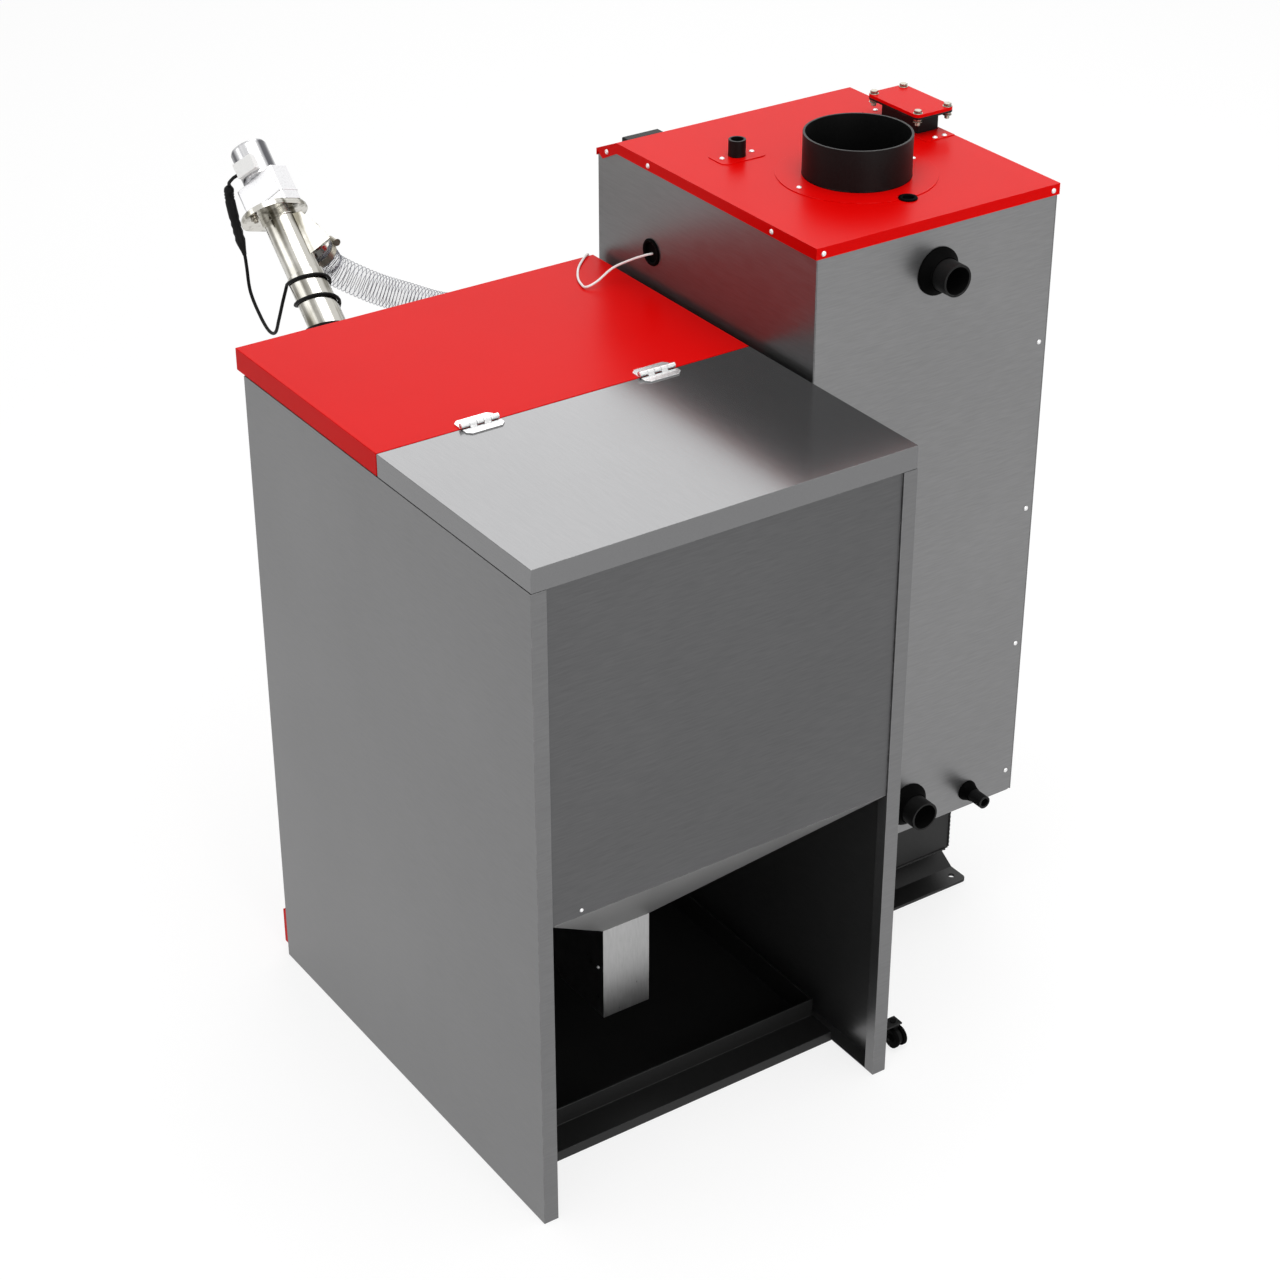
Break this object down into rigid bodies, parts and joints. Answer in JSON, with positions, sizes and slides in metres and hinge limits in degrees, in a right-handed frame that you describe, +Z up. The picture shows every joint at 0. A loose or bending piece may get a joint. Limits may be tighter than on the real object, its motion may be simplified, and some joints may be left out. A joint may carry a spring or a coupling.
{
  "type": "pellet boiler",
  "caption": "Pellet boiler with a flue collar, a fuel hopper with a hinged lid beside it, and an inclined auger that feeds the burner through a clear hose.",
  "frame": {"origin": "floor level, in the middle of the four foot bolt holes of the boiler", "axes": "+Z up, +Y towards the rear water pipes, the hopper stands on the +X side"},
  "size_m": [1.063, 1.342, 1.304],
  "materials": {
    "red_paint": "semi-gloss powder coat",
    "grey_casing": "satin grey coat",
    "grey_lid": "glossy grey coat",
    "black_paint": "satin black stove paint",
    "mineral_wool": "yellow mineral wool",
    "black_rubber": "matt",
    "zinc_steel": "zinc plated",
    "raw_steel": "mill finish",
    "bright_steel": "bright",
    "bin_steel": "galvanised, dulled",
    "black_plastic": "fine texture",
    "ceramic_rope": "white ceramic rope",
    "knob_plastic": "silver grey",
    "key_plastic": "grey",
    "rocker_plastic": "dark red",
    "fan_plastic": "dark grey",
    "nickel": "nickel plated",
    "cast_aluminium": "as cast",
    "motor_steel": "turned",
    "white_plastic": "light",
    "clear_hose": "clear with a steel wire",
    "black_cable": "semi-matt",
    "white_cable": "matt"
  },
  "bodies": {
    "boiler": {"boiler_body": "black_paint", "boiler_feet": "black_paint", "insulation": "mineral_wool", "casing_left_side": "grey_casing", "casing_right_side": "grey_casing", "casing_rear": "grey_casing", "casing_front": "grey_casing", "top_cover": "red_paint", "cover_rosettes": "red_paint", "flue_collar": "black_paint", "flow_pipe": "black_paint", "return_pipe": "black_paint", "drain_pipe": "black_paint", "safety_nipple": "black_paint", "rubber_grommets": "black_rubber", "duct_neck": "black_paint", "duct_cover": "red_paint", "bolts": "zinc_steel", "casing_screws": "zinc_steel", "turbulators": "raw_steel", "burner_plate": "black_paint", "burner_tube": "raw_steel", "burner_housing": "red_paint", "burner_grille": "black_plastic", "controller": "black_plastic", "switch_module": "black_plastic", "hinge_pins": "zinc_steel", "hopper_left_side": "grey_casing", "hopper_right_side": "grey_casing", "pellet_bin": "bin_steel", "auger_well": "bin_steel", "hopper_front": "grey_casing", "hopper_plinth": "red_paint", "base_tray": "black_paint", "front_cover": "red_paint", "fixed_hinge_leaves": "bright_steel", "caster_bracket": "black_paint", "auger_tube": "nickel", "auger_flange": "nickel", "auger_gearbox": "cast_aluminium", "auger_motor": "motor_steel", "terminal_box": "white_plastic", "hose_clamps": "zinc_steel", "pellet_hose": "clear_hose", "motor_cable": "black_cable", "sensor_cable": "white_cable"},
    "rear_lid": {"rear_lid": "grey_lid", "lid_hinge_leaves": "bright_steel"},
    "cleaning_door": {"cleaning_door": "red_paint", "cleaning_door_seal": "ceramic_rope", "cleaning_door_handle": "black_plastic"},
    "ash_drawer": {"ash_drawer": "black_paint", "ash_drawer_handle": "black_plastic"},
    "controller_knob": {"controller_knob": "knob_plastic"},
    "controller_key": {"controller_key": "key_plastic"},
    "rocker_switch": {"rocker_switch": "rocker_plastic"},
    "burner_fan": {"burner_fan": "fan_plastic"},
    "auger_screw": {"auger_screw": "raw_steel"},
    "caster_fork": {"caster_fork": "black_plastic"},
    "caster_wheels": {"caster_wheels": "black_rubber"}
  },
  "joints": [
    {"name": "rear_lid_hinge", "type": "hinge", "parent": "boiler", "child": "rear_lid", "pos_m": [0.5305, 0.161, 1.0546], "axis": [1, 0, 0], "range_deg": [0, 100]},
    {"name": "cleaning_door_hinge", "type": "hinge", "parent": "boiler", "child": "cleaning_door", "pos_m": [-0.1796, -0.2556, 0.936], "axis": [0, 0, -1], "range_deg": [0, 110]},
    {"name": "ash_drawer_slide", "type": "slide", "parent": "boiler", "child": "ash_drawer", "axis": [0, -1, 0], "range_m": [0, 0.3]},
    {"name": "controller_knob_turn", "type": "hinge", "parent": "boiler", "child": "controller_knob", "pos_m": [0.0128, -0.258, 1.13336], "axis": [0, -1, 0], "continuous": true},
    {"name": "controller_key_press", "type": "slide", "parent": "boiler", "child": "controller_key", "axis": [0, 1, 0], "range_m": [0, 0.0015], "stiffness_N_per_m": 500},
    {"name": "rocker_switch_tip", "type": "hinge", "parent": "boiler", "child": "rocker_switch", "pos_m": [0.1148, -0.262, 1.184], "axis": [1, 0, 0], "range_deg": [-8, 8]},
    {"name": "burner_fan_spin", "type": "hinge", "parent": "boiler", "child": "burner_fan", "pos_m": [0, -0.49, 0.43], "axis": [0, -1, 0], "continuous": true},
    {"name": "auger_screw_spin", "type": "hinge", "parent": "boiler", "child": "auger_screw", "pos_m": [0.5305, -0.603, 0.953], "axis": [0, -0.7373, 0.6756], "continuous": true},
    {"name": "caster_swivel", "type": "hinge", "parent": "boiler", "child": "caster_fork", "pos_m": [0.1765, 0.496, 0.037], "axis": [0, 0, 1], "continuous": true},
    {"name": "caster_roll", "type": "hinge", "parent": "caster_fork", "child": "caster_wheels", "pos_m": [0.1765, 0.504, 0.0163], "axis": [1, 0, 0], "continuous": true}
  ]
}
